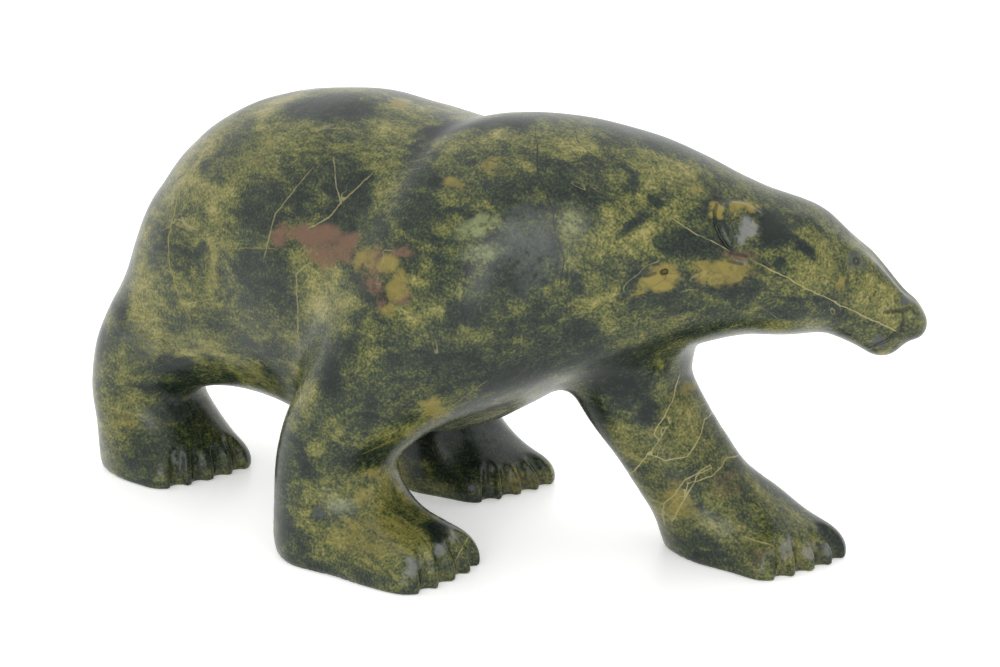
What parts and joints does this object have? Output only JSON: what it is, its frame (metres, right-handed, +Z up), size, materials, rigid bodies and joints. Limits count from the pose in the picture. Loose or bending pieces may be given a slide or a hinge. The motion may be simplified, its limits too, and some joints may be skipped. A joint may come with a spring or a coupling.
{
  "type": "soapstone bear carving",
  "caption": "Walking bear carved from one block of polished mottled green stone, head lowered and turned to its left, standing on its own flat paws.",
  "frame": {"origin": "on the ground under the middle of the bear's bounding box", "axes": "+X the way the bear walks, from rump to shoulders, +Y to the bear's left, +Z up"},
  "size_m": [0.376, 0.194, 0.194],
  "materials": {
    "stone": "waxed satin polish, mottled green with ochre clouds, dark blots and thin pale veins"
  },
  "bodies": {
    "root": {"bear": "stone"}
  },
  "joints": []
}
